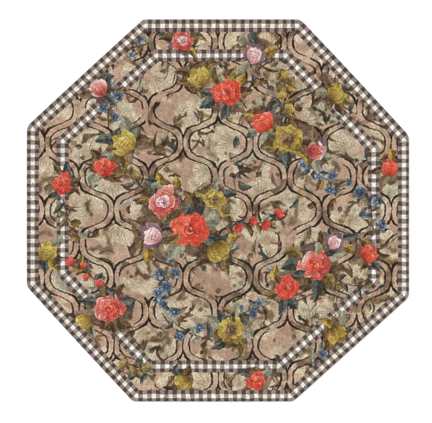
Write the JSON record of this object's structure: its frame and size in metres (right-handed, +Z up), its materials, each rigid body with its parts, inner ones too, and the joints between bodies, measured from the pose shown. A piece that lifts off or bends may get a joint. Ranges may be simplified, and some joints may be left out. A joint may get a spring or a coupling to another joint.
{
  "type": "octagonal rug",
  "caption": "Flat octagonal rug of looped wool pile with a flowered field, a lattice of dark lines and checked bands round the edge.",
  "frame": {"origin": "under the middle of the outline, on the surface that the rug lies on", "axes": "+Z up out of the pile, +Y towards the top of the pattern, +X to its right"},
  "size_m": [1.8305, 1.8308, 0.01],
  "materials": {
    "wool_pile": "looped wool pile in many yarn colours, soft and matt, with a plain pale foundation cloth underneath"
  },
  "bodies": {
    "root": {"rug": "wool_pile"}
  },
  "joints": []
}
